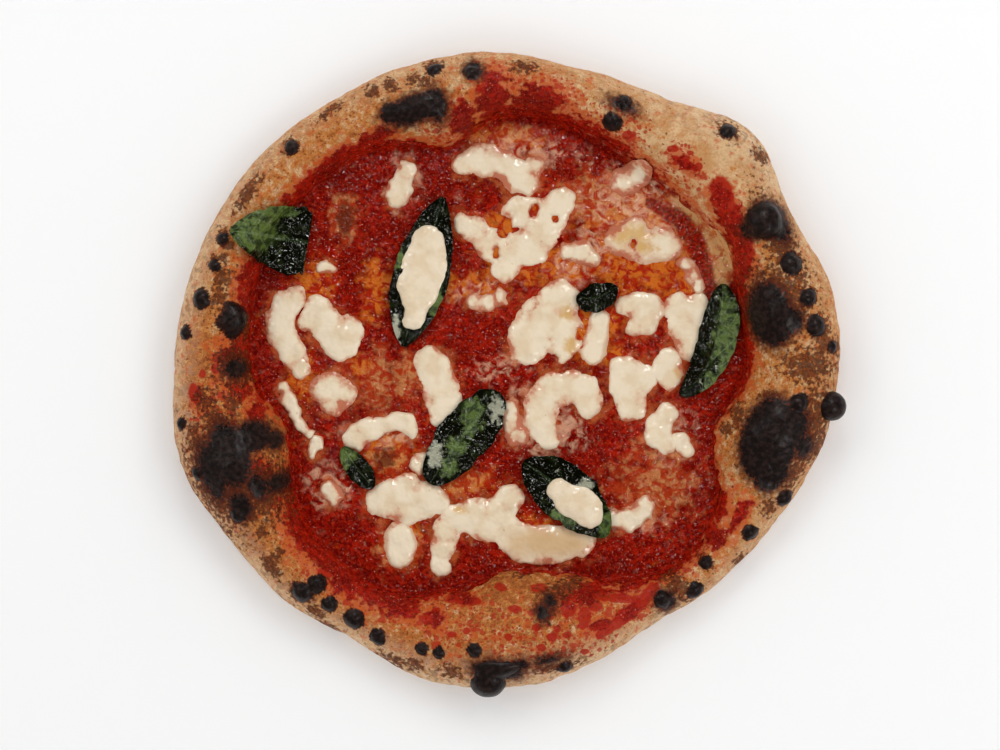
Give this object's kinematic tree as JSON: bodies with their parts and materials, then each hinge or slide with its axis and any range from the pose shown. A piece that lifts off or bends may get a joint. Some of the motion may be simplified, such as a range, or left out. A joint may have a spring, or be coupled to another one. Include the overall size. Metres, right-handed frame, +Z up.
{
  "type": "margherita pizza",
  "caption": "Round baked pizza with a puffed, charred rim, tomato sauce, melted mozzarella and basil leaves.",
  "frame": {"origin": "middle of the flat underside, below the middle of the pizza's box", "axes": "+Z up out of the topping, +X to the right and +Y away in the picture taken from above"},
  "size_m": [0.3096, 0.297, 0.0328],
  "materials": {
    "crust": "dry baked dough, floury, with scorched spots",
    "sauce": "wet crushed tomato with oil",
    "mozzarella": "melted cheese, soft gloss",
    "basil": "wilted, oily leaf"
  },
  "bodies": {
    "root": {"crust": "crust", "tomato_sauce": "sauce", "mozzarella_01": "mozzarella", "mozzarella_02": "mozzarella", "mozzarella_03": "mozzarella", "mozzarella_04": "mozzarella", "mozzarella_05": "mozzarella", "mozzarella_06": "mozzarella", "mozzarella_07": "mozzarella", "mozzarella_08": "mozzarella", "mozzarella_09": "mozzarella", "mozzarella_10": "mozzarella", "mozzarella_11": "mozzarella", "mozzarella_12": "mozzarella", "mozzarella_13": "mozzarella", "mozzarella_14": "mozzarella", "mozzarella_15": "mozzarella", "mozzarella_16": "mozzarella", "mozzarella_17": "mozzarella", "mozzarella_18": "mozzarella", "mozzarella_19": "mozzarella", "mozzarella_20": "mozzarella", "mozzarella_21": "mozzarella", "mozzarella_22": "mozzarella", "mozzarella_23": "mozzarella", "mozzarella_24": "mozzarella", "mozzarella_25": "mozzarella", "mozzarella_26": "mozzarella", "mozzarella_27": "mozzarella", "mozzarella_28": "mozzarella", "mozzarella_29": "mozzarella", "mozzarella_30": "mozzarella", "mozzarella_31": "mozzarella", "mozzarella_32": "mozzarella", "mozzarella_33": "mozzarella", "mozzarella_34": "mozzarella", "basil_01": "basil", "basil_02": "basil", "basil_03": "basil", "basil_04": "basil", "basil_05": "basil", "basil_06": "basil", "basil_07": "basil"}
  },
  "joints": []
}
